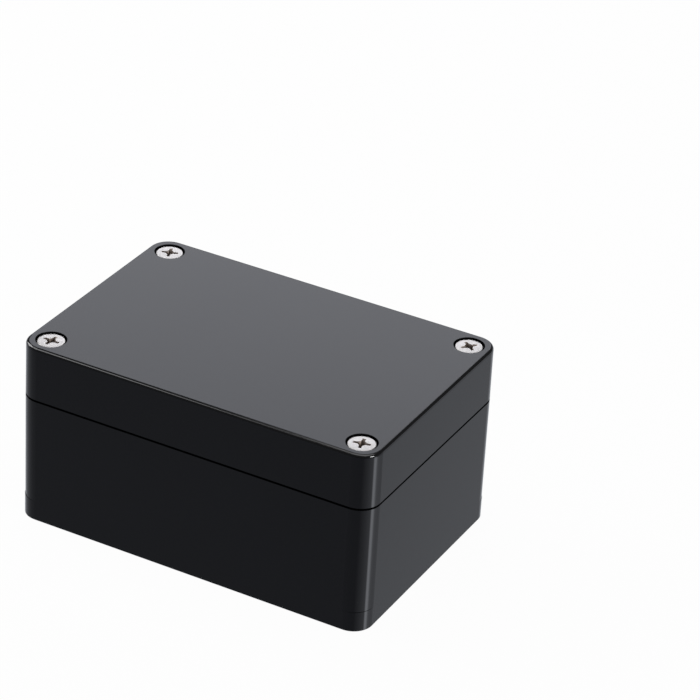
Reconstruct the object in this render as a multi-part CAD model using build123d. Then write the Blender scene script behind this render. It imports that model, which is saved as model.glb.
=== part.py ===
from build123d import *

import os

# Sealed plastic project box: a moulded base and lid, a rubber sealing ring, four lid screws and the four
# brass inserts that they screw into. Sizes are in millimetres, +Z is up, +X runs along the box, the front
# is the -Y side, and the origin is the middle of the underside.

# Outside
length = 100.0
width = 68.0
height = 50.0
parting_height = 35.3  # the base ends here and the lid begins
corner_radius = 5.6
lid_draft = 0.3  # degrees that the lid's sides lean in
lid_edge_radius = 0.9  # along the top edges of the lid
underside_edge = 0.1  # bevel along the bottom edges of the base
parting_line = 0.6  # height of the fine groove round the box, under the lid
parting_line_depth = 1.0
foot_height = 5.5  # below this the corners are a little sharper, so each has a small step
foot_radius = 5.35

# Walls
wall = 2.6  # base sides, and the wall between the cavity and the wells
floor_thickness = 2.6
lid_top_thickness = 2.6
cavity_corner_radius = 3.0
cavity_inner_radius = 5.0  # where the cavity turns round a well

# Seal: the base's raised tongue presses a ring in the lid's groove
tongue_thickness = 1.3
tongue_height = 2.5
seal_gap = 0.3  # on each side of the tongue
ring_height = 1.5
ring_gap = 0.05  # on each side of the ring in its groove
skirt_thickness = 1.2  # the lid's inner skirt, which drops into the base
skirt_drop = 2.0

# Lid screws and inserts
screw_inset = 6.1  # from both outer faces to each screw's axis
screw_radius = 1.95
screw_hole_radius = 2.25
head_radius = 3.55
head_height = 2.65
head_bevel = 0.3
head_recess = 0.15  # from the lid's top down to the head's top
head_gap = 0.45  # round the head in its counterbore
cross_span = 4.3  # tip to tip of the driver's cross, at the head's top
cross_foot_span = 2.7  # and at the bottom of the recess
cross_slot = 0.95
cross_depth = 1.9
insert_radius = 2.8
insert_bore_radius = 2.0
insert_length = 8.0
insert_sink = 0.2  # below the base's rim
insert_gap = 0.02  # round the insert in its hole
tip_room = 3.0  # depth of the hole under the insert
boss_wall = 1.7  # plastic round each insert

# Wells outside the seal, for the screws that fix the box to a wall
well_size = 9.2
well_floor = 3.2
fixing_hole_radius = 2.15

# Board posts and card guides inside the base
post_radius = 3.0
post_height = 5.0
post_pilot_radius = 1.25
post_pilot_depth = 6.0
post_from_bay = 5.6  # from the end bay's line to a post's axis
post_from_side = 11.4  # from the cavity's side wall to a post's axis
guide_spacing = 36.0
guide_slot = 2.0
guide_rib = 1.2
guide_depth = 1.5
guide_top_gap = 3.0  # below the lid's skirt

same_place = 0.01  # two corners of a plan that lie this close are one corner

# Each corner by name, as signs of X and Y, and how far its screw's cross happened to turn, in degrees
corners = {
    "front_left": (-1, -1, -2.0),
    "front_right": (1, -1, 13.0),
    "back_left": (-1, 1, 19.0),
    "back_right": (1, 1, 51.0),
}

# Places worked out from the sizes above
cavity_x = length / 2 - wall
cavity_y = width / 2 - wall
screw_x = length / 2 - screw_inset
screw_y = width / 2 - screw_inset
well_x = cavity_x - well_size / 2
well_y = screw_y - insert_radius - boss_wall - well_size / 2
bay_x = well_x - well_size / 2 - wall  # the cavity's long bay reaches here in X
bay_y = well_y - well_size / 2 - wall  # and its end bays reach here in Y
groove_top = parting_height + tongue_height + ring_height
lid_ceiling = height - lid_top_thickness
head_seat = height - head_recess - head_height
insert_top = parting_height - insert_sink
insert_bottom = insert_top - insert_length
guide_top = parting_height - skirt_drop - guide_top_gap
post_x = bay_x - post_from_bay
post_y = cavity_y - post_from_side


def prism(plan, bottom, top):
    """A plan drawn on XY, extruded from one height to another."""
    return extrude(Pos(0, 0, bottom) * plan, top - bottom)


def outline(radius, inset=0.0):
    return RectangleRounded(length - 2 * inset, width - 2 * inset, radius - inset)


def seal_outline(grow=0.0):
    """The cavity's plan, grown outwards: a rectangle whose corners are notched round the screws and wells."""
    half_x, half_y = cavity_x + grow, cavity_y + grow
    inner_x, inner_y = bay_x + grow, bay_y + grow
    plan = Rectangle(2 * half_x, 2 * inner_y) + Rectangle(2 * inner_x, 2 * half_y)
    plan = fillet([v for v in plan.vertices() if is_corner(v, inner_x, inner_y)], cavity_inner_radius - grow)
    ends = [v for v in plan.vertices() if is_corner(v, half_x, inner_y) or is_corner(v, inner_x, half_y)]
    return fillet(ends, cavity_corner_radius + grow)


def is_corner(vertex, x, y):
    """Whether a vertex of a plan lies at plus or minus X and Y."""
    return abs(abs(vertex.X) - x) < same_place and abs(abs(vertex.Y) - y) < same_place


def seal_band(outer, inner):
    """A ring that follows the cavity's plan, between two offsets from it."""
    return seal_outline(outer) - seal_outline(inner)


def at_corners(x, y, shape):
    """Copies of a shape at the four corners, at plus and minus X and Y."""
    return [Pos(sx * x, sy * y, 0) * shape for sx, sy, _ in corners.values()]


def base_block():
    """The base's outer form: a foot with sharper corners, the sides, and a rim set in at the parting line."""
    foot = prism(outline(foot_radius), 0, foot_height)
    foot = chamfer(foot.faces().sort_by(Axis.Z)[0].edges(), underside_edge)
    line_bottom = parting_height - parting_line
    sides = prism(outline(corner_radius), foot_height, line_bottom)
    rim = prism(outline(corner_radius, parting_line_depth), line_bottom, parting_height)
    return foot + sides + rim


def card_guides():
    """Pairs of ribs on the long walls that hold a board on edge."""
    rib = Box(
        guide_rib,
        guide_depth + wall / 2,
        guide_top - floor_thickness / 2,
        align=(Align.CENTER, Align.MAX, Align.MIN),
    )
    ribs = []
    for side in (-1, 1):
        for end in (-1, 1):
            for edge in (-1, 1):
                x = end * guide_spacing / 2 + edge * (guide_slot + guide_rib) / 2
                turn = Rot(0, 0, 0 if side > 0 else 180)
                place = Pos(0, side * (cavity_y + wall / 2), floor_thickness / 2)
                ribs.append(Pos(x, 0, 0) * place * turn * rib)
    return ribs


def base_shell():
    tongue_top = parting_height + tongue_height
    body = base_block() + prism(seal_outline(tongue_thickness), parting_height, tongue_top)
    body -= prism(seal_outline(), floor_thickness, tongue_top)
    post_top = floor_thickness + post_height
    body += at_corners(post_x, post_y, prism(Circle(post_radius), floor_thickness / 2, post_top))
    body += card_guides()
    body -= at_corners(post_x, post_y, prism(Circle(post_pilot_radius), post_top - post_pilot_depth, post_top))
    body -= at_corners(well_x, well_y, prism(Rectangle(well_size, well_size), well_floor, parting_height))
    body -= at_corners(well_x, well_y, prism(Circle(fixing_hole_radius), 0, well_floor))
    body -= at_corners(screw_x, screw_y, insert_hole())
    return body


def insert_hole():
    """The hole for an insert, deeper than it to leave room for the screw's tip."""
    return prism(Circle(insert_radius + insert_gap), insert_bottom - tip_room, parting_height)


def lid_block():
    """The lid's outer form, drafted, with rounded top edges."""
    foot = Pos(0, 0, parting_height) * outline(corner_radius)
    block = extrude(foot, height - parting_height, taper=lid_draft)
    return fillet(block.faces().sort_by(Axis.Z)[-1].edges(), lid_edge_radius)


def lid_cover():
    skirt_outside = -seal_gap
    skirt_inside = -seal_gap - skirt_thickness
    skirt_bottom = parting_height - skirt_drop
    body = lid_block() + prism(seal_band(skirt_outside, skirt_inside), skirt_bottom, parting_height + wall)
    body -= prism(seal_outline(skirt_inside), skirt_bottom, lid_ceiling)
    body -= prism(seal_band(tongue_thickness + seal_gap, -seal_gap), parting_height, groove_top)
    body -= at_corners(well_x, well_y, prism(Rectangle(well_size, well_size), parting_height, lid_ceiling))
    body -= at_corners(screw_x, screw_y, prism(Circle(screw_hole_radius), parting_height, height))
    body -= at_corners(screw_x, screw_y, prism(Circle(head_radius + head_gap), head_seat, height))
    return body


def sealing_ring():
    """The ring in the lid's groove. Its lower face lies on the base's tongue."""
    band = seal_band(tongue_thickness + seal_gap - ring_gap, ring_gap - seal_gap)
    return prism(band, groove_top - ring_height, groove_top)


def threaded_insert():
    """A brass insert on the Z axis, level with its boss apart from a small sink."""
    return prism(Circle(insert_radius) - Circle(insert_bore_radius), insert_bottom, insert_top)


def cross_recess(angle):
    """The driver's cross in a screw's head: two crossed wings that narrow as they go down."""
    top, bottom = head_seat + head_height, head_seat + head_height - cross_depth
    half_top, half_foot = cross_span / 2, cross_foot_span / 2
    side = Polyline((-half_top, top), (half_top, top), (half_foot, bottom), (-half_foot, bottom), close=True)
    wing = extrude(Plane.XZ * make_face(side), cross_slot / 2, both=True)
    return Rot(0, 0, angle) * (wing + Rot(0, 0, 90) * wing)


def lid_screw(angle):
    """A machine screw with a bevelled head, its axis on Z. Its tip ends level with the insert's foot."""
    top = head_seat + head_height
    profile = Polyline(
        (0, insert_bottom),
        (screw_radius, insert_bottom),
        (screw_radius, head_seat),
        (head_radius, head_seat),
        (head_radius, top - head_bevel),
        (head_radius - head_bevel, top),
        (0, top),
        close=True,
    )
    return revolve(Plane.XZ * make_face(profile), Axis.Z) - cross_recess(angle)


def main():
    os.makedirs("parts", exist_ok=True)
    pieces = {"base_shell": base_shell(), "lid_cover": lid_cover(), "sealing_ring": sealing_ring()}
    for corner, (sx, sy, angle) in corners.items():
        place = Pos(sx * screw_x, sy * screw_y, 0)
        pieces[f"lid_screw_{corner}"] = place * lid_screw(angle)
        pieces[f"threaded_insert_{corner}"] = place * threaded_insert()
    for name, piece in pieces.items():
        export_step(piece, f"parts/{name}.step")


main()
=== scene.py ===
import math

import bpy
from mathutils import Matrix, Vector


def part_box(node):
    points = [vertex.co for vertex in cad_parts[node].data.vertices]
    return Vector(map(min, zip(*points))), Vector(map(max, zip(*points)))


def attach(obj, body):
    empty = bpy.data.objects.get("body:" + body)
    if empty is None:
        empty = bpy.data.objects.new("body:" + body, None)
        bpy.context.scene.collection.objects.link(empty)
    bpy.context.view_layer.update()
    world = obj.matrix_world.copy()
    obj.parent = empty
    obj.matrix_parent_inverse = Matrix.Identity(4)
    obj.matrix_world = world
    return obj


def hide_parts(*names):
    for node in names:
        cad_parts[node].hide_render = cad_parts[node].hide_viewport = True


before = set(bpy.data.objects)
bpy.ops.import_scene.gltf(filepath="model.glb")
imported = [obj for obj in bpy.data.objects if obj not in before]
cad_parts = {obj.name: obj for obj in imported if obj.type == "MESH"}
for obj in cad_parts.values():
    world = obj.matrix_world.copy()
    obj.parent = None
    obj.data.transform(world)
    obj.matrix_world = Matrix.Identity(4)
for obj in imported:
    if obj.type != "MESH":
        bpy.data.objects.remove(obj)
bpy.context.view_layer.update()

MM = 0.001

# Lengths too small to see
MERGE = 0.002 * MM  # points this close are one point
TINY = 0.01 * MM  # faces and edges this close to a plane lie in it
HAIR = 0.02 * MM  # keeps two faces out of one plane
ON_WALL = 0.05 * MM  # points this close to a wall's radius lie on the wall

# The M4 lid screws
SCREW_PITCH = 0.7 * MM
THREAD_DEPTH = 0.36 * MM
THREAD_ROWS = 7  # rows of points for each turn of the thread
SHANK_RADIUS = 1.95 * MM
SCREW_STEPS = 64  # flats round the screw
HEAD_HEIGHT = 2.63 * MM  # from the CAD head's top to the underside, which just clears its seat
HEAD_SINK = 0.12 * MM  # from the CAD head's top to the crown
HEAD_DOME = 0.1 * MM
HEAD_EDGE = 0.25 * MM
PLAIN_NECK = 0.9 * MM  # plain length of the shank, under the head

# Their driver recess: two crossed wings and a conical socket
WING_SPAN = 4.5 * MM
WING_WIDTH = 1.05 * MM
WING_TIP_WIDTH = 0.75 * MM
WING_DEPTH = 1.9 * MM
WING_FOOT = (0.34, 0.55, 1)  # the shares of its length and width that a wing keeps at its foot
SOCKET_RADIUS = 1.1 * MM
SOCKET_FOOT_RADIUS = 0.35 * SOCKET_RADIUS
SOCKET_DEPTH = 1.15 * WING_DEPTH
SOCKET_STEPS = 24
RECESS_EDGE = 0.07 * MM  # bevel of its edges
RECESS_REACH = 1.3 * WING_DEPTH  # its faces lie within this depth
RECESS_SHADE_END = 49.7 * MM  # height above the floor at which the recess's painted shade has faded out
RECESS_SHADE_FADE = 0.9 * MM  # and how far below that the painted shade is full

# The brass inserts
INSERT_BORE = 2.0 * MM
INSERT_LEAD = 0.3 * MM  # bevel of its ends
INSERT_BAND = 2.9 * MM  # from each end to the neck between the bands
INSERT_NECK = 0.35 * MM  # depth of the neck
INSERT_THREAD_DEPTH = 0.2 * MM
INSERT_THREAD_ROWS = 6
KNURL_COUNT = 36
KNURL_STEPS = 4  # flats round the insert for each ridge
KNURL_ROW = 0.6 * MM
KNURL_DEPTH = 0.16 * MM

# The bead along the ring's lower edges
RING_BEAD = 0.45 * MM
RING_BEAD_STEPS = 4

# Edges sharper than this many degrees stay sharp in the shading
HARDWARE_SHARP = 35
BEAD_SHARP = 40

# The height that a bump's pattern stands for at full strength
RELIEF = 0.1 * MM

# How polished the plastic is, as points of (part of the way that its surface faces, polish). It goes by the
# vertical part along the rims, and by the endways part down the corners, where the surface is upright
RIM_POLISH = ((0.0, 0.0), (0.28, 0.0), (0.4, 0.5), (0.95, 0.5), (0.995, 0.0))
CORNER_POLISH = (
    (0.5, 0.0),
    (0.7, 0.1),
    (0.84, 0.2),
    (0.87, 1.0),
    (0.9, 1.0),
    (0.94, 0.3),
    (0.98, 0.12),
    (1.0, 0.0),
)
UPRIGHT = ((0.0, 1.0), (0.1, 1.0), (0.3, 0.0))

# How much of the floor that the camera and gloss see is plain white, and not lit
FLOOR_WHITE = 0.97

CORNERS = ("front_left", "front_right", "back_left", "back_right")
# How far each screw's cross was left turned, in degrees
CROSS_TURN = {"front_left": -2.0, "front_right": 13.0, "back_left": 19.0, "back_right": 51.0}

# The photograph's view of the box
LENS_MM = 169.208
CAMERA_AZIMUTH = 27.236
CAMERA_ELEVATION = 29.723
CAMERA_ROLL = -3.363
CAMERA_DISTANCE = 0.86744
LOOK_AT = Vector((0.211 * MM, 47.95 * MM, 25.0 * MM))


def linear(colour):
    """An sRGB hex colour as the linear colour that a shader takes."""
    parts = [int(colour[i : i + 2], 16) / 255 for i in (1, 3, 5)]
    return [c / 12.92 if c <= 0.04045 else ((c + 0.055) / 1.055) ** 2.4 for c in parts] + [1.0]


def add_node(tree, kind, inputs=None, **settings):
    """Add a node with its settings. Each input is a plain value, or another node's socket to link from."""
    new = tree.nodes.new(kind)
    for name, value in settings.items():
        setattr(new, name, value)
    for name, value in (inputs or {}).items():
        if isinstance(value, bpy.types.NodeSocket):
            tree.links.new(value, new.inputs[name])
        else:
            new.inputs[name].default_value = value
    return new


def new_material(name):
    """An empty material and its node tree."""
    material = bpy.data.materials.new(name)
    material.use_nodes = True
    material.node_tree.nodes.clear()
    return material, material.node_tree


def close_material(tree, shader):
    """Link a finished shader to the material's output."""
    add_node(tree, "ShaderNodeOutputMaterial", {"Surface": shader})


def profile(tree, value, points):
    """A value changed along a line of (in, out) points."""
    ramp = add_node(tree, "ShaderNodeValToRGB", {"Fac": value})
    stops = ramp.color_ramp.elements
    while len(stops) < len(points):
        stops.new(1.0)
    for stop, (position, level) in zip(stops, points):
        stop.position = position
        stop.color = (level, level, level, 1.0)
    return ramp.outputs["Color"]


def moulded_black_abs():
    """Black ABS, injection moulded in a finely spark-eroded tool: satin faces and glossier rounded edges."""
    material, tree = new_material("moulded_black_abs")
    surface = add_node(tree, "ShaderNodeTexCoord")
    place = surface.outputs["Object"]
    # The tool was polished round its edges, as the way that the surface faces tells: all along the top and
    # the bottom edges, and in a narrow line down each corner
    facing = add_node(tree, "ShaderNodeVectorMath", {0: surface.outputs["Normal"]}, operation="ABSOLUTE")
    along = add_node(tree, "ShaderNodeSeparateXYZ", {0: facing.outputs["Vector"]}).outputs
    rims = profile(tree, along["Z"], RIM_POLISH)
    corners = profile(tree, along["X"], CORNER_POLISH)
    upright = profile(tree, along["Z"], UPRIGHT)
    corners = add_node(tree, "ShaderNodeMath", {0: corners, 1: upright}, operation="MULTIPLY").outputs[0]
    polish = add_node(tree, "ShaderNodeMath", {0: rims, 1: corners}, operation="MAXIMUM").outputs[0]
    # The flow of the melt leaves slow, faint changes of gloss, some 30 mm apart
    flow = add_node(tree, "ShaderNodeTexNoise", {"Vector": place, "Scale": 35.0, "Detail": 3.0})
    shades = {0: flow.outputs["Fac"], 6: linear("#09090A"), 7: linear("#0C0C0E")}
    tone = add_node(tree, "ShaderNodeMix", shades, data_type="RGBA")
    levels = {"Value": flow.outputs["Fac"], "To Min": 0.15, "To Max": 0.2}
    gloss = add_node(tree, "ShaderNodeMapRange", levels)
    # The tool's texture is about 0.1 mm from peak to peak; it is drawn at 0.3 mm, so that it shows
    grain = add_node(tree, "ShaderNodeTexNoise", {"Vector": place, "Scale": 3300.0, "Detail": 2.0})
    relief = {"Strength": 0.05, "Distance": RELIEF, "Height": grain.outputs["Fac"]}
    fine = add_node(tree, "ShaderNodeBump", relief)
    shader = add_node(
        tree,
        "ShaderNodeBsdfPrincipled",
        {
            "Base Color": tone.outputs[2],
            "Roughness": gloss.outputs["Result"],
            "Normal": fine.outputs["Normal"],
            "IOR": 1.2,
            "Specular Tint": linear("#F3F5FF"),
            "Coat Weight": polish,
            "Coat Roughness": 0.1,
            "Coat IOR": 2.0,
        },
    )
    close_material(tree, shader.outputs["BSDF"])
    return material


def moulded_neoprene():
    """Dark grey neoprene, moulded as a ring: matt, with a soft bloom."""
    material, tree = new_material("moulded_neoprene")
    place = add_node(tree, "ShaderNodeTexCoord").outputs["Object"]
    bloom = add_node(tree, "ShaderNodeTexNoise", {"Vector": place, "Scale": 220.0, "Detail": 4.0})
    shades = {0: bloom.outputs["Fac"], 6: linear("#2A2A2B"), 7: linear("#3B3B3C")}
    tone = add_node(tree, "ShaderNodeMix", shades, data_type="RGBA")
    # Its skin is pitted at about 0.2 mm
    pits = add_node(tree, "ShaderNodeTexNoise", {"Vector": place, "Scale": 5000.0, "Detail": 1.0})
    relief = {"Strength": 0.25, "Distance": RELIEF, "Height": pits.outputs["Fac"]}
    skin = add_node(tree, "ShaderNodeBump", relief)
    shader = add_node(
        tree,
        "ShaderNodeBsdfPrincipled",
        {"Base Color": tone.outputs[2], "Roughness": 0.75, "Normal": skin.outputs["Normal"], "IOR": 1.52},
    )
    close_material(tree, shader.outputs["BSDF"])
    return material


def cold_headed_stainless():
    """Stainless steel, cold headed and thread rolled, then tumbled: bright, with faint random marks."""
    material, tree = new_material("cold_headed_stainless")
    place = add_node(tree, "ShaderNodeTexCoord").outputs["Object"]
    # Tumbling leaves marks about 0.4 mm across
    marks = add_node(tree, "ShaderNodeTexNoise", {"Vector": place, "Scale": 2500.0, "Detail": 3.0})
    shades = {0: marks.outputs["Fac"], 6: linear("#93918F"), 7: linear("#CCC9C7")}
    tone = add_node(tree, "ShaderNodeMix", shades, data_type="RGBA")
    levels = {"Value": marks.outputs["Fac"], "To Min": 0.44, "To Max": 0.54}
    gloss = add_node(tree, "ShaderNodeMapRange", levels)
    relief = {"Strength": 0.14, "Distance": RELIEF, "Height": marks.outputs["Fac"]}
    dents = add_node(tree, "ShaderNodeBump", relief)
    shader = add_node(
        tree,
        "ShaderNodeBsdfPrincipled",
        {
            "Base Color": tone.outputs[2],
            "Metallic": 1.0,
            "Roughness": gloss.outputs["Result"],
            "Normal": dents.outputs["Normal"],
        },
    )
    close_material(tree, shader.outputs["BSDF"])
    return material


def steel_with_painted_shade():
    """The driver recess: stainless steel with painted shade, a brownish dark deep down and paler above."""
    material, tree = new_material("steel_with_painted_shade")
    place = add_node(tree, "ShaderNodeTexCoord").outputs["Object"]
    # The painted shade varies at random in patches about 0.4 mm across
    mottle = add_node(tree, "ShaderNodeTexNoise", {"Vector": place, "Scale": 2500.0, "Detail": 2.0})
    shades = {0: mottle.outputs["Fac"], 6: linear("#40362F"), 7: linear("#665A53")}
    deep_shade = add_node(tree, "ShaderNodeMix", shades, data_type="RGBA")
    # The painted shade fades to paler steel near the head's top, at the wings' tips
    height = add_node(tree, "ShaderNodeSeparateXYZ", {0: place}).outputs["Z"]
    full_shade_top = RECESS_SHADE_END - RECESS_SHADE_FADE
    levels = {"Value": height, "From Min": full_shade_top, "From Max": RECESS_SHADE_END}
    shade_fade = add_node(tree, "ShaderNodeMapRange", levels)
    shades = {0: shade_fade.outputs["Result"], 6: deep_shade.outputs[2], 7: linear("#9A8F88")}
    tone = add_node(tree, "ShaderNodeMix", shades, data_type="RGBA")
    levels = {"Value": mottle.outputs["Fac"], "To Min": 0.45, "To Max": 0.6}
    gloss = add_node(tree, "ShaderNodeMapRange", levels)
    shader = add_node(
        tree,
        "ShaderNodeBsdfPrincipled",
        {"Base Color": tone.outputs[2], "Metallic": 0.8, "Roughness": gloss.outputs["Result"]},
    )
    close_material(tree, shader.outputs["BSDF"])
    return material


def turned_brass():
    """Free-cutting brass, turned and knurled: yellow, fairly bright, slightly dulled."""
    material, tree = new_material("turned_brass")
    place = add_node(tree, "ShaderNodeTexCoord").outputs["Object"]
    # The brass dulls in patches about 1 mm across
    dulling = add_node(tree, "ShaderNodeTexNoise", {"Vector": place, "Scale": 900.0, "Detail": 3.0})
    shades = {0: dulling.outputs["Fac"], 6: linear("#B8903F"), 7: linear("#D3AE5C")}
    tone = add_node(tree, "ShaderNodeMix", shades, data_type="RGBA")
    levels = {"Value": dulling.outputs["Fac"], "To Min": 0.24, "To Max": 0.38}
    gloss = add_node(tree, "ShaderNodeMapRange", levels)
    # Turning leaves rings about 0.1 mm apart, up and down the insert
    rings = add_node(tree, "ShaderNodeTexWave", {"Vector": place, "Scale": 3000.0}, bands_direction="Z")
    relief = {"Strength": 0.06, "Distance": RELIEF, "Height": rings.outputs["Fac"]}
    cut = add_node(tree, "ShaderNodeBump", relief)
    shader = add_node(
        tree,
        "ShaderNodeBsdfPrincipled",
        {
            "Base Color": tone.outputs[2],
            "Metallic": 1.0,
            "Roughness": gloss.outputs["Result"],
            "Normal": cut.outputs["Normal"],
        },
    )
    close_material(tree, shader.outputs["BSDF"])
    return material


def white_floor():
    """Matt white floor. The camera sees it nearly white, with a faint shadow, and gloss a touch cooler."""
    material, tree = new_material("white_floor")
    path = add_node(tree, "ShaderNodeLightPath")
    seen = path.outputs["Is Camera Ray"]
    for ray in ("Is Glossy Ray", "Is Transmission Ray"):
        either = {0: seen, 1: path.outputs[ray]}
        seen = add_node(tree, "ShaderNodeMath", either, operation="MAXIMUM").outputs[0]
    white = add_node(tree, "ShaderNodeMath", {0: seen, 1: FLOOR_WHITE}, operation="MULTIPLY").outputs[0]
    matt = add_node(tree, "ShaderNodeBsdfDiffuse", {"Color": linear("#D6D6D6")})
    shades = {0: path.outputs["Is Glossy Ray"], 6: linear("#FFFFFF"), 7: linear("#F0F4FC")}
    tone = add_node(tree, "ShaderNodeMix", shades, data_type="RGBA")
    plain = add_node(tree, "ShaderNodeEmission", {"Color": tone.outputs[2], "Strength": 1.0})
    shader = add_node(
        tree, "ShaderNodeMixShader", {0: white, 1: matt.outputs["BSDF"], 2: plain.outputs["Emission"]}
    )
    close_material(tree, shader.outputs["Shader"])
    return material


def deselect_all():
    bpy.ops.object.select_all(action="DESELECT")


def select_only(piece):
    """Select one piece and make it the active one, as the operators need."""
    deselect_all()
    piece.select_set(True)
    bpy.context.view_layer.objects.active = piece


def apply_modifier(piece, kind, **settings):
    """Give a piece a modifier and apply it."""
    select_only(piece)
    modifier = piece.modifiers.new(kind.lower(), kind)
    for name, value in settings.items():
        setattr(modifier, name, value)
    bpy.ops.object.modifier_apply(modifier=modifier.name)


def bake_place(piece):
    """Put a piece's place, turn and size into its mesh."""
    select_only(piece)
    bpy.ops.object.transform_apply(location=True, rotation=True, scale=True)


def turned(name, outline, steps):
    """Draw a half outline of (radius, height) points by extruding one point, and spin it round the Z axis."""
    deselect_all()
    bpy.ops.mesh.primitive_plane_add(size=MM)
    piece = bpy.context.object
    piece.name = name
    bpy.ops.object.mode_set(mode="EDIT")
    bpy.ops.mesh.select_mode(type="VERT")
    bpy.ops.mesh.select_all(action="SELECT")
    bpy.ops.mesh.merge(type="CENTER")
    bpy.ops.transform.translate(value=(outline[0][0], 0, outline[0][1]))
    for (radius, height), (next_radius, next_height) in zip(outline, outline[1:]):
        step = (next_radius - radius, 0, next_height - height)
        bpy.ops.mesh.extrude_region_move(TRANSFORM_OT_translate={"value": step})
    bpy.ops.mesh.select_all(action="SELECT")
    bpy.ops.mesh.spin(steps=steps, angle=2 * math.pi, center=(0, 0, 0), axis=(0, 0, 1))
    bpy.ops.mesh.select_all(action="SELECT")
    bpy.ops.mesh.remove_doubles(threshold=MERGE)
    bpy.ops.mesh.normals_make_consistent(inside=False)
    bpy.ops.object.mode_set(mode="OBJECT")
    return piece


def arc(centre, radius, start, end, count):
    """Points of an arc in a half outline, by angles in degrees from the outward radius."""
    angles = [math.radians(start + (end - start) * i / count) for i in range(count + 1)]
    return [(centre[0] + radius * math.cos(a), centre[1] + radius * math.sin(a)) for a in angles]


def stretch(start, end, spacing):
    """Points along a straight stretch of a half outline, evenly spaced, without its first point."""
    count = max(1, round(math.dist(start, end) / spacing))
    return [
        (start[0] + (end[0] - start[0]) * i / count, start[1] + (end[1] - start[1]) * i / count)
        for i in range(1, count + 1)
    ]


def resize_faces(piece, chosen, value, centre):
    """Resize, about a centre, the faces that a test chooses."""
    bpy.ops.object.mode_set(mode="EDIT")
    bpy.ops.mesh.select_mode(type="FACE")
    bpy.ops.mesh.select_all(action="DESELECT")
    bpy.ops.object.mode_set(mode="OBJECT")
    for face in piece.data.polygons:
        face.select = chosen(face)
    bpy.ops.object.mode_set(mode="EDIT")
    bpy.ops.transform.resize(value=value, center_override=centre)
    bpy.ops.object.mode_set(mode="OBJECT")


def cross_wing(turn, top):
    """One wing of the driver recess, right across it, which narrows to its tips and its foot."""
    deselect_all()
    bpy.ops.mesh.primitive_cube_add(size=1, location=(0, 0, top - WING_DEPTH / 2))
    wing = bpy.context.object
    wing.scale = (WING_SPAN, WING_WIDTH, WING_DEPTH)
    bake_place(wing)
    foot = top - WING_DEPTH
    bpy.ops.object.mode_set(mode="EDIT")
    bpy.ops.mesh.select_all(action="SELECT")
    bpy.ops.mesh.bisect(plane_co=(0, 0, foot), plane_no=(1, 0, 0))
    bpy.ops.object.mode_set(mode="OBJECT")
    tip = (1, WING_TIP_WIDTH / WING_WIDTH, 1)
    resize_faces(wing, lambda face: abs(face.center.x) > WING_SPAN / 2 - TINY, tip, (0, 0, foot))
    resize_faces(wing, lambda face: abs(face.center.z - foot) < TINY, WING_FOOT, (0, 0, foot))
    wing.rotation_euler = (0, 0, turn)
    bake_place(wing)
    return wing


def cross_socket(top):
    """The conical middle of the driver recess."""
    deselect_all()
    bpy.ops.mesh.primitive_cone_add(
        vertices=SOCKET_STEPS,
        radius1=SOCKET_FOOT_RADIUS,
        radius2=SOCKET_RADIUS,
        depth=SOCKET_DEPTH,
        location=(0, 0, top - SOCKET_DEPTH / 2),
    )
    return bpy.context.object


def cut_away(piece, cutter):
    """Cut one piece's form out of another, and remove it."""
    apply_modifier(piece, "BOOLEAN", object=cutter, operation="DIFFERENCE", solver="EXACT")
    bpy.data.objects.remove(cutter)


def roll_thread(piece, low, high, crest, depth):
    """Move a wall's points on to a helical thread, which fades at its ends. A bore's has a depth below 0."""
    for vertex in piece.data.vertices:
        x, y, z = vertex.co
        radius = math.hypot(x, y)
        if not (low < z < high and abs(radius - crest) < ON_WALL):
            continue
        phase = (z / SCREW_PITCH - math.atan2(y, x) / (2 * math.pi)) % 1.0
        # 0 in the flat root and 1 on the flat crest, with straight flanks between them
        tooth = min(1.0, max(0.0, 1.6 * abs(2 * phase - 1) - 0.3))
        fade = min(1.0, (z - low) / SCREW_PITCH, (high - z) / SCREW_PITCH)
        scale = (crest - depth * fade * (1 - tooth)) / radius
        vertex.co = (x * scale, y * scale, z)


def screw_outline(head_low, head_high, tip, head_radius):
    """Half outline of the screw, from the middle of its head down to the middle of its tip."""
    dome_radius = (head_radius**2 + HEAD_DOME**2) / (2 * HEAD_DOME)
    crown = head_high - dome_radius
    edge_angle = math.degrees(math.acos((head_radius - HEAD_EDGE) / dome_radius))
    points = arc((0, crown), dome_radius, 90, edge_angle, 8)
    rim = points[-1][1] - HEAD_EDGE
    points += arc((head_radius - HEAD_EDGE, rim), HEAD_EDGE, 70, 0, 3)
    points.append((head_radius, head_low + HEAD_EDGE / 2))
    points.append((head_radius - HEAD_EDGE / 2, head_low))
    points.append((SHANK_RADIUS + HEAD_EDGE, head_low))
    points.append((SHANK_RADIUS, head_low - HEAD_EDGE))
    points += stretch(points[-1], (SHANK_RADIUS, tip + SCREW_PITCH), SCREW_PITCH / THREAD_ROWS)
    points.append((SHANK_RADIUS - THREAD_DEPTH, tip))
    points.append((0, tip))
    return points


def shade_recess(screw, top):
    """Put the walls and the foot of the driver recess on the screw's second material, which carries painted
    shade.
    """
    for face in screw.data.polygons:
        centre = face.center
        near = math.hypot(centre.x, centre.y) < WING_SPAN / 2 and centre.z > top - RECESS_REACH
        # Near the middle, the head's top is all that faces up and lies high
        if near and (face.normal.z < 0.9 or centre.z < top - WING_DEPTH / 2):
            face.material_index = 1


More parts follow.
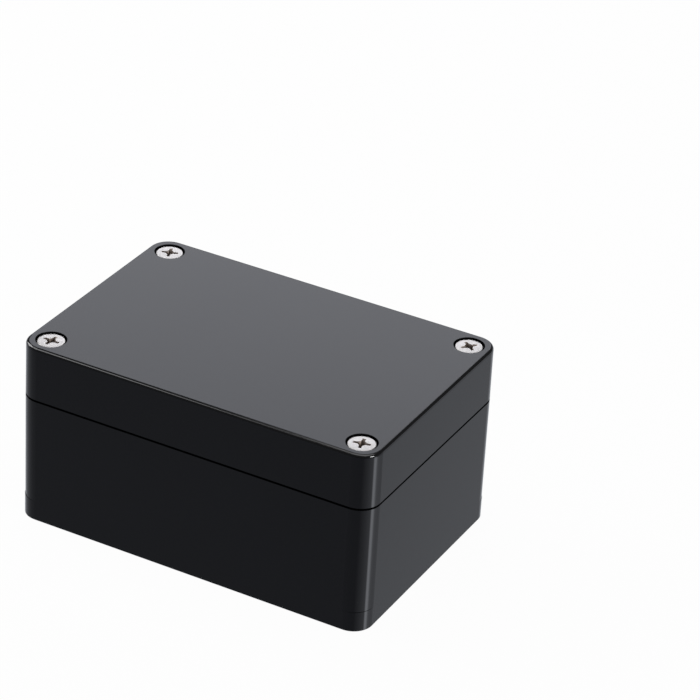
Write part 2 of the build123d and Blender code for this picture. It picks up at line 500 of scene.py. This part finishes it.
def lid_screws(steel, recess_shade_steel):
    """One cold-headed machine screw, modelled once on the Z axis and copied to each corner."""
    low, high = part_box("lid_screw_" + CORNERS[0])
    head_high = high.z - HEAD_SINK
    head_low = high.z - HEAD_HEIGHT
    head_radius = (high.x - low.x) / 2
    screw = turned("screw_pattern", screw_outline(head_low, head_high, low.z, head_radius), SCREW_STEPS)
    top = head_high + HAIR
    for turn in (0, math.pi / 2):
        cut_away(screw, cross_wing(turn, top))
    cut_away(screw, cross_socket(top))
    sharp = {"limit_method": "ANGLE", "angle_limit": math.radians(50)}
    apply_modifier(screw, "BEVEL", width=RECESS_EDGE, segments=2, **sharp)
    roll_thread(screw, low.z, head_low - PLAIN_NECK, SHANK_RADIUS, THREAD_DEPTH)
    screw.data.materials.append(steel)
    # The second material paints shade into the driver recess
    screw.data.materials.append(recess_shade_steel)
    shade_recess(screw, top)
    copies_at_corners(screw, "lid_screw_", "machine_screw_", "screw_", CROSS_TURN)


def threaded_inserts(material):
    """One knurled insert, modelled once on the Z axis and copied to each corner."""
    low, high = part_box("threaded_insert_" + CORNERS[0])
    outer = (high.x - low.x) / 2
    bore, lead, neck = INSERT_BORE, INSERT_LEAD, INSERT_NECK
    middle_low, middle_high = low.z + INSERT_BAND, high.z - INSERT_BAND
    outline = [(bore, high.z - lead), (bore + lead, high.z)]
    outline += [(outer - lead / 2, high.z), (outer, high.z - lead / 2)]
    outline += stretch(outline[-1], (outer, middle_high), KNURL_ROW)
    outline += [(outer - neck, middle_high - neck), (outer - neck, middle_low + neck)]
    outline.append((outer, middle_low))
    outline += stretch(outline[-1], (outer, low.z + lead), KNURL_ROW)
    outline += [(outer - lead, low.z), (bore + lead, low.z), (bore, low.z + lead)]
    outline += stretch(outline[-1], outline[0], SCREW_PITCH / INSERT_THREAD_ROWS)
    insert = turned("insert_pattern", outline, KNURL_COUNT * KNURL_STEPS)
    for vertex in insert.data.vertices:
        x, y, z = vertex.co
        radius = math.hypot(x, y)
        if radius < outer - HAIR:
            continue
        ridge = abs(2 * ((math.atan2(y, x) / (2 * math.pi) * KNURL_COUNT) % 1.0) - 1)
        scale = (outer - KNURL_DEPTH * (1 - ridge)) / radius
        vertex.co = (x * scale, y * scale, z)
    roll_thread(insert, low.z + lead, high.z - lead, bore, -INSERT_THREAD_DEPTH)
    insert.data.materials.append(material)
    copies_at_corners(insert, "threaded_insert_", "knurled_insert_", None, {})


def copies_at_corners(pattern, node_prefix, piece_prefix, body_prefix, turns):
    """Copy a piece on to each corner's CAD node, which it replaces, and remove the pattern."""
    for corner in CORNERS:
        node = node_prefix + corner
        low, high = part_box(node)
        middle = (low + high) / 2
        mesh = pattern.data.copy()
        turn = Matrix.Rotation(math.radians(turns.get(corner, 0.0)), 4, "Z")
        mesh.transform(Matrix.Translation((middle.x, middle.y, 0)) @ turn)
        piece = bpy.data.objects.new(piece_prefix + corner, mesh)
        bpy.context.collection.objects.link(piece)
        smooth(piece, HARDWARE_SHARP)
        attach(piece, body_prefix + corner if body_prefix else "base")
        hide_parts(node)
    bpy.data.objects.remove(pattern)


def smooth(piece, angle):
    """Shade a piece smooth, apart from edges sharper than an angle in degrees."""
    select_only(piece)
    bpy.ops.object.shade_smooth_by_angle(angle=math.radians(angle))


def seal_bead(material):
    """The soft ring: the CAD ring's form with its lower edges rounded to a bead."""
    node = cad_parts["sealing_ring"]
    low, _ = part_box("sealing_ring")
    bead = bpy.data.objects.new("neoprene_bead", node.data.copy())
    bpy.context.collection.objects.link(bead)
    select_only(bead)
    bpy.ops.object.mode_set(mode="EDIT")
    bpy.ops.mesh.select_all(action="SELECT")
    bpy.ops.mesh.remove_doubles(threshold=MERGE)
    bpy.ops.mesh.customdata_custom_splitnormals_clear()
    bpy.ops.mesh.dissolve_limited(angle_limit=math.radians(1))
    bpy.ops.mesh.select_all(action="DESELECT")
    bpy.ops.mesh.select_mode(type="EDGE")
    bpy.ops.object.mode_set(mode="OBJECT")
    for edge in bead.data.edges:
        ends = [bead.data.vertices[i].co.z for i in edge.vertices]
        edge.select = all(z < low.z + TINY for z in ends)
    bpy.ops.object.mode_set(mode="EDIT")
    bpy.ops.mesh.bevel(offset=RING_BEAD, segments=RING_BEAD_STEPS)
    bpy.ops.object.mode_set(mode="OBJECT")
    bead.data.materials.clear()
    bead.data.materials.append(material)
    smooth(bead, BEAD_SHARP)
    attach(bead, "lid")
    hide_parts("sealing_ring")


def dress_mouldings(material):
    """The base and the lid keep their solids and take the moulded plastic."""
    for name in ("base_shell", "lid_cover"):
        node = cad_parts[name]
        node.data.materials.clear()
        node.data.materials.append(material)


def area_light(name, position, aim, size, luminance, colour="#FFFFFF"):
    """A rectangular softbox of an even luminance, facing the point that it aims at."""
    light = bpy.data.lights.new(name, "AREA")
    light.shape = "RECTANGLE"
    light.size, light.size_y = size
    light.color = linear(colour)[:3]
    # An area lamp's power is spread over a half sphere: luminance times area times pi
    light.energy = luminance * size[0] * size[1] * math.pi
    lamp = bpy.data.objects.new(name, light)
    lamp.location = position
    lamp.rotation_euler = (Vector(aim) - Vector(position)).to_track_quat("-Z", "Y").to_euler()
    bpy.context.collection.objects.link(lamp)


def direction(azimuth, elevation):
    """Unit vector towards a place, by its azimuth from -Y towards +X and its elevation."""
    a, e = math.radians(azimuth), math.radians(elevation)
    return Vector((math.sin(a) * math.cos(e), -math.cos(a) * math.cos(e), math.sin(e)))


def studio():
    """A white floor, a softbox behind that the lid mirrors, a large one overhead and three for the edges."""
    # The floor lies a hair under the box, so that the two don't share a plane
    bpy.ops.mesh.primitive_plane_add(size=6, location=(0, 0, -HAIR))
    floor = bpy.context.object
    floor.name = "floor"
    bake_place(floor)
    floor.data.materials.append(white_floor())
    middle = Vector((0, 0, 0.03))
    behind = middle + direction(CAMERA_AZIMUTH + 180, CAMERA_ELEVATION) * 1.3
    area_light("softbox_behind", behind, middle, size=(0.7, 0.55), luminance=4.25, colour="#F6F8FF")
    overhead = Vector((0.05, 0.06, 1.53))
    area_light("softbox_overhead", overhead, (0.05, 0.06, 0), size=(1.36, 1.3), luminance=1.4)
    area_light("softbox_front_left", (-0.48, -0.22, 0.6), middle, size=(0.5, 0.3), luminance=2.4)
    left = middle + direction(-92, 30) * 1.1
    area_light("softbox_left", left, middle, size=(0.6, 0.55), luminance=4.6)
    right = middle + direction(77, 23) * 1.2
    area_light("softbox_right", right, middle, size=(0.36, 0.3), luminance=15.0)
    world = bpy.data.worlds.new("surround")
    bpy.context.scene.world = world
    world.use_nodes = True
    world.node_tree.nodes["Background"].inputs["Color"].default_value = linear("#FFFFFF")
    world.node_tree.nodes["Background"].inputs["Strength"].default_value = 0.1


def camera():
    """The photograph's view: a long lens, from the front and right, a little rolled."""
    data = bpy.data.cameras.new("camera")
    data.lens = LENS_MM
    data.sensor_width = 36
    data.clip_start = 0.01
    eye = bpy.data.objects.new("camera", data)
    towards = direction(CAMERA_AZIMUTH, CAMERA_ELEVATION)
    eye.location = LOOK_AT + towards * CAMERA_DISTANCE
    aim = (-towards).to_track_quat("-Z", "Y").to_matrix().to_4x4()
    roll = Matrix.Rotation(math.radians(-CAMERA_ROLL), 4, "Z")
    eye.matrix_world = Matrix.Translation(eye.location) @ aim @ roll
    bpy.context.collection.objects.link(eye)
    bpy.context.scene.camera = eye


def main():
    dress_mouldings(moulded_black_abs())
    lid_screws(cold_headed_stainless(), steel_with_painted_shade())
    threaded_inserts(turned_brass())
    seal_bead(moulded_neoprene())
    studio()
    camera()
    bpy.context.scene.view_settings.view_transform = "Standard"


main()
